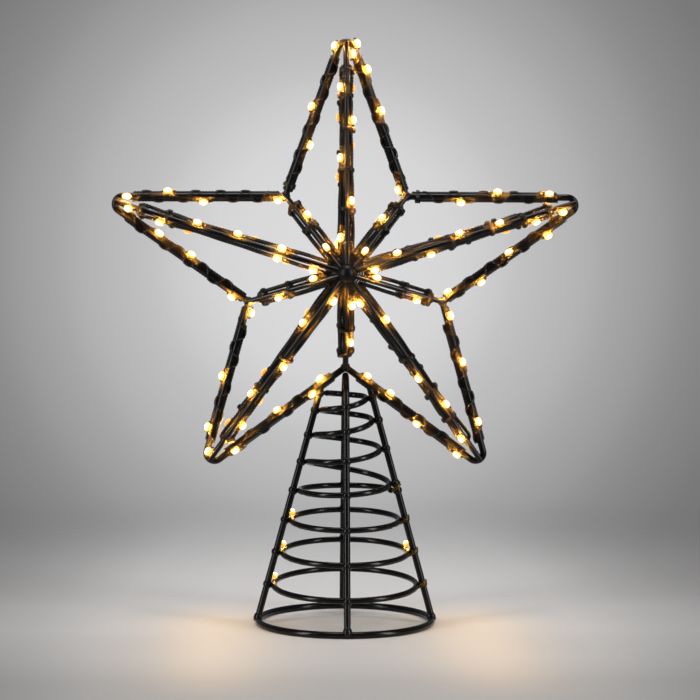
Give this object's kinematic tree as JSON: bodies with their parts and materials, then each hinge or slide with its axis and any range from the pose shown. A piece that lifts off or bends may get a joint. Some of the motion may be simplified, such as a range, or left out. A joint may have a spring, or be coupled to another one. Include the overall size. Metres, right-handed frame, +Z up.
{
  "type": "christmas tree topper star",
  "caption": "Lit wire star with ridge and valley rods to a hub on each face, on a cone of legs, spiral and rings that slips over the top of a tree.",
  "frame": {"origin": "on the floor under the middle of the base ring", "axes": "+Z up, -Y towards the front of the star, +X to the right seen from the front"},
  "size_m": [0.239, 0.093, 0.3],
  "materials": {
    "black_frame": "semi-gloss black powder coat on steel wire",
    "light_cable": "black insulated two-wire cable",
    "tie_wire": "thin black lashing wire",
    "lamp": "clear resin drop over a warm white lamp"
  },
  "bodies": {
    "root": {"base_ring": "black_frame", "cone_lamp_drops": "lamp", "cone_spiral": "black_frame", "front_back_leg_hoop": "black_frame", "front_cable_ties": "tie_wire", "front_hub_ball": "black_frame", "front_lamp_drops": "lamp", "front_light_string": "light_cable", "front_ridge_left_rod": "black_frame", "front_ridge_lower_left_rod": "black_frame", "front_ridge_lower_right_rod": "black_frame", "front_ridge_right_rod": "black_frame", "front_ridge_top_rod": "black_frame", "front_valley_bottom_rod": "black_frame", "front_valley_side_left_rod": "black_frame", "front_valley_side_right_rod": "black_frame", "front_valley_upper_left_rod": "black_frame", "front_valley_upper_right_rod": "black_frame", "left_leg": "black_frame", "left_point_cables": "light_cable", "lower_cone_ring": "black_frame", "lower_left_point_cables": "light_cable", "lower_right_point_cables": "light_cable", "middle_cone_ring": "black_frame", "outline_cable_ties": "tie_wire", "outline_lamp_drops": "lamp", "rear_cable_ties": "tie_wire", "rear_hub_ball": "black_frame", "rear_lamp_drops": "lamp", "rear_light_string": "light_cable", "rear_ridge_left_rod": "black_frame", "rear_ridge_lower_left_rod": "black_frame", "rear_ridge_lower_right_rod": "black_frame", "rear_ridge_right_rod": "black_frame", "rear_ridge_top_rod": "black_frame", "rear_valley_bottom_rod": "black_frame", "rear_valley_side_left_rod": "black_frame", "rear_valley_side_right_rod": "black_frame", "rear_valley_upper_left_rod": "black_frame", "rear_valley_upper_right_rod": "black_frame", "right_leg": "black_frame", "right_point_cables": "light_cable", "star_point_left": "black_frame", "star_point_lower_left": "black_frame", "star_point_lower_right": "black_frame", "star_point_right": "black_frame", "star_point_top": "black_frame", "top_point_cables": "light_cable", "upper_cone_ring": "black_frame"}
  },
  "joints": []
}
